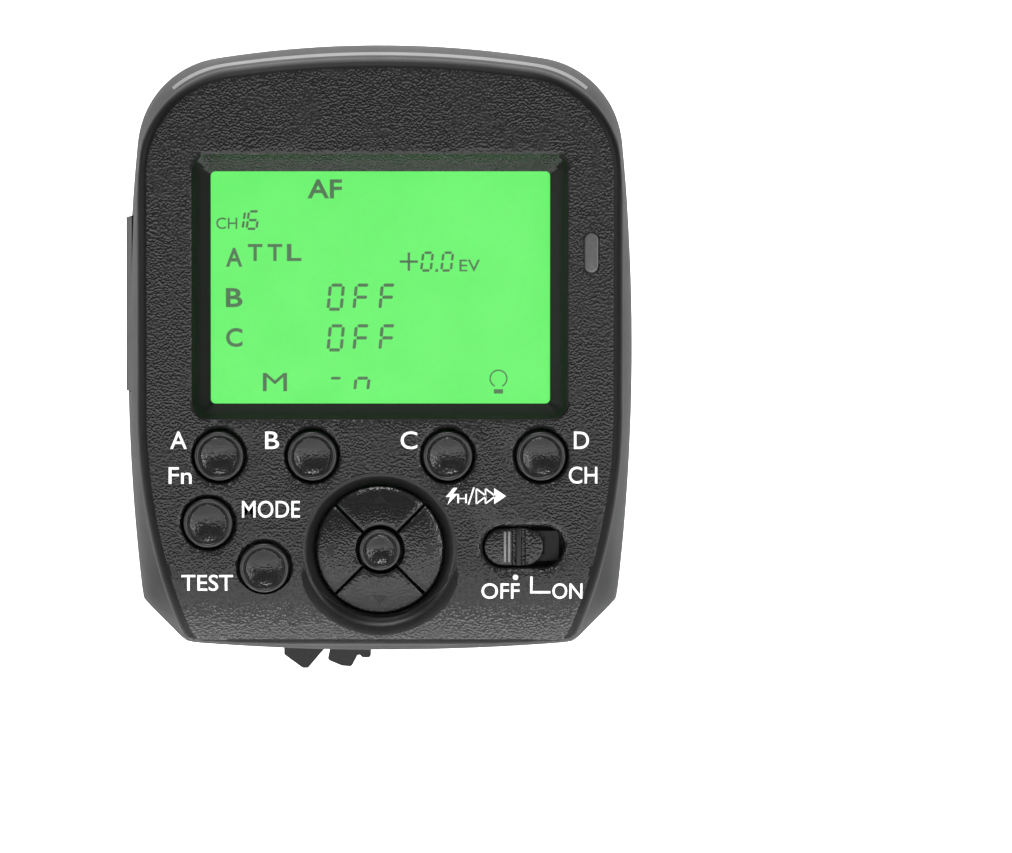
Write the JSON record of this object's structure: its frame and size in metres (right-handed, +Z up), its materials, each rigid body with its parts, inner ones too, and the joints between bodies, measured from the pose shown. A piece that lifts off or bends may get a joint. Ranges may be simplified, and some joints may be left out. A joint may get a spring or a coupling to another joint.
{
  "type": "wireless flash trigger",
  "caption": "Hot shoe radio trigger for studio flash: screen, round buttons, four-way pad, power slide, shoe foot with lever lock and sprung contacts, battery bay under a sliding door.",
  "frame": {"origin": "centre contact of the hot shoe foot, on the outer face of the shoe plate", "axes": "+Y out of the foot, away from the screen, which faces -Y; +Z up towards the battery bay, the way the foot slides into a shoe; +X right as seen from the screen"},
  "size_m": [0.0653, 0.047, 0.0819],
  "materials": {
    "case_plastic": "fine moulded grain, satin edges",
    "button_plastic": "satin moulded",
    "black_plastic": "smooth",
    "foot_plastic": "smooth satin",
    "white_plastic": "smooth",
    "label": "printed film",
    "window": "clear, polished",
    "lcd": "backlit panel",
    "lamp_lens": "frosted",
    "flap_rubber": "smooth",
    "plate_metal": "fine bead-blasted nickel plate",
    "bright_metal": "plated steel",
    "dark_metal": "blackened steel",
    "contact_brass": "gold-plated brass",
    "board": "green solder mask",
    "flex_film": "polyimide film",
    "cell_sleeve": "printed sleeve"
  },
  "bodies": {
    "root": {"front_housing": "case_plastic", "rear_housing": "case_plastic", "display_window": "window", "lcd_panel": "lcd", "backlight": "white_plastic", "main_board": "board", "board_chips": "black_plastic", "radio_module": "bright_metal", "buzzer": "black_plastic", "tact_switches": "bright_metal", "power_switch": "bright_metal", "status_lamp": "lamp_lens", "status_led": "white_plastic", "battery_tray": "black_plastic", "cell_upper": "cell_sleeve", "cell_lower": "cell_sleeve", "battery_springs": "bright_metal", "battery_contacts": "bright_metal", "usb_socket": "bright_metal", "sync_jack": "black_plastic", "foot_base": "foot_plastic", "foot_plate": "plate_metal", "contact_insert": "black_plastic", "contact_barrels": "contact_brass", "wave_washer": "bright_metal", "foot_retainer": "bright_metal", "contact_board": "board", "flex_lead": "flex_film", "foot_screws": "bright_metal", "hub_screws": "bright_metal", "case_screws": "dark_metal"},
    "battery_door": {"battery_door": "case_plastic", "label_plate": "label"},
    "button_a": {"button_a": "button_plastic"},
    "button_b": {"button_b": "button_plastic"},
    "button_c": {"button_c": "button_plastic"},
    "button_d": {"button_d": "button_plastic"},
    "button_mode": {"button_mode": "button_plastic"},
    "button_test": {"button_test": "button_plastic"},
    "key_up": {"key_up": "button_plastic"},
    "key_down": {"key_down": "button_plastic"},
    "key_left": {"key_left": "button_plastic"},
    "key_right": {"key_right": "button_plastic"},
    "key_set": {"key_set": "button_plastic"},
    "switch_knob": {"switch_knob": "button_plastic"},
    "lever_ring": {"lever_ring": "foot_plastic"},
    "lock_pin": {"lock_pin": "bright_metal"},
    "centre_contact": {"centre_contact": "contact_brass"},
    "aux_contact": {"aux_contact": "contact_brass"},
    "signal_contact_1": {"signal_contact_1": "contact_brass"},
    "signal_contact_2": {"signal_contact_2": "contact_brass"},
    "signal_contact_3": {"signal_contact_3": "contact_brass"},
    "signal_contact_4": {"signal_contact_4": "contact_brass"},
    "signal_contact_5": {"signal_contact_5": "contact_brass"},
    "signal_contact_6": {"signal_contact_6": "contact_brass"},
    "port_cover": {"port_cover": "flap_rubber"}
  },
  "joints": [
    {"name": "button_a_press", "type": "slide", "parent": "root", "child": "button_a", "axis": [0, 1, 0], "range_m": [0, 0.0005], "stiffness_N_per_m": 900, "springref_m": -0.0003},
    {"name": "button_b_press", "type": "slide", "parent": "root", "child": "button_b", "axis": [0, 1, 0], "range_m": [0, 0.0005], "stiffness_N_per_m": 900, "springref_m": -0.0003},
    {"name": "button_c_press", "type": "slide", "parent": "root", "child": "button_c", "axis": [0, 1, 0], "range_m": [0, 0.0005], "stiffness_N_per_m": 900, "springref_m": -0.0003},
    {"name": "button_d_press", "type": "slide", "parent": "root", "child": "button_d", "axis": [0, 1, 0], "range_m": [0, 0.0005], "stiffness_N_per_m": 900, "springref_m": -0.0003},
    {"name": "button_mode_press", "type": "slide", "parent": "root", "child": "button_mode", "axis": [0, 1, 0], "range_m": [0, 0.0005], "stiffness_N_per_m": 900, "springref_m": -0.0003},
    {"name": "button_test_press", "type": "slide", "parent": "root", "child": "button_test", "axis": [0, 1, 0], "range_m": [0, 0.0005], "stiffness_N_per_m": 900, "springref_m": -0.0003},
    {"name": "key_up_press", "type": "slide", "parent": "root", "child": "key_up", "axis": [0, 1, 0], "range_m": [0, 0.0005], "stiffness_N_per_m": 900, "springref_m": -0.0003},
    {"name": "key_down_press", "type": "slide", "parent": "root", "child": "key_down", "axis": [0, 1, 0], "range_m": [0, 0.0005], "stiffness_N_per_m": 900, "springref_m": -0.0003},
    {"name": "key_left_press", "type": "slide", "parent": "root", "child": "key_left", "axis": [0, 1, 0], "range_m": [0, 0.0005], "stiffness_N_per_m": 900, "springref_m": -0.0003},
    {"name": "key_right_press", "type": "slide", "parent": "root", "child": "key_right", "axis": [0, 1, 0], "range_m": [0, 0.0005], "stiffness_N_per_m": 900, "springref_m": -0.0003},
    {"name": "key_set_press", "type": "slide", "parent": "root", "child": "key_set", "axis": [0, 1, 0], "range_m": [0, 0.0005], "stiffness_N_per_m": 900, "springref_m": -0.0003},
    {"name": "power_slide", "type": "slide", "parent": "root", "child": "switch_knob", "axis": [1, 0, 0], "range_m": [0, 0.0024]},
    {"name": "lever_turn", "type": "hinge", "parent": "root", "child": "lever_ring", "pos_m": [0, 0, 0], "axis": [0, -1, 0], "range_deg": [0, 30]},
    {"name": "lock_pin_slide", "type": "slide", "parent": "root", "child": "lock_pin", "axis": [0, 1, 0], "range_m": [0, 0.00152]},
    {"name": "centre_contact_press", "type": "slide", "parent": "root", "child": "centre_contact", "axis": [0, -1, 0], "range_m": [0, 0.0005], "stiffness_N_per_m": 400, "springref_m": -0.0004},
    {"name": "aux_contact_press", "type": "slide", "parent": "root", "child": "aux_contact", "axis": [0, -1, 0], "range_m": [0, 0.0005], "stiffness_N_per_m": 400, "springref_m": -0.0004},
    {"name": "signal_contact_1_press", "type": "slide", "parent": "root", "child": "signal_contact_1", "axis": [0, -1, 0], "range_m": [0, 0.0005], "stiffness_N_per_m": 400, "springref_m": -0.0004},
    {"name": "signal_contact_2_press", "type": "slide", "parent": "root", "child": "signal_contact_2", "axis": [0, -1, 0], "range_m": [0, 0.0005], "stiffness_N_per_m": 400, "springref_m": -0.0004},
    {"name": "signal_contact_3_press", "type": "slide", "parent": "root", "child": "signal_contact_3", "axis": [0, -1, 0], "range_m": [0, 0.0005], "stiffness_N_per_m": 400, "springref_m": -0.0004},
    {"name": "signal_contact_4_press", "type": "slide", "parent": "root", "child": "signal_contact_4", "axis": [0, -1, 0], "range_m": [0, 0.0005], "stiffness_N_per_m": 400, "springref_m": -0.0004},
    {"name": "signal_contact_5_press", "type": "slide", "parent": "root", "child": "signal_contact_5", "axis": [0, -1, 0], "range_m": [0, 0.0005], "stiffness_N_per_m": 400, "springref_m": -0.0004},
    {"name": "signal_contact_6_press", "type": "slide", "parent": "root", "child": "signal_contact_6", "axis": [0, -1, 0], "range_m": [0, 0.0005], "stiffness_N_per_m": 400, "springref_m": -0.0004},
    {"name": "battery_door_slide", "type": "slide", "parent": "root", "child": "battery_door", "axis": [0, 0, 1], "range_m": [0, 0.005]},
    {"name": "port_cover_hinge", "type": "hinge", "parent": "root", "child": "port_cover", "pos_m": [-0.0324, -0.03135, 0.0304], "axis": [0, 0, -1], "range_deg": [0, 105]}
  ],
  "couplings": [
    {"joint": "lock_pin_slide", "follows": "lever_turn", "m_per_rad": 0.0028648}
  ]
}
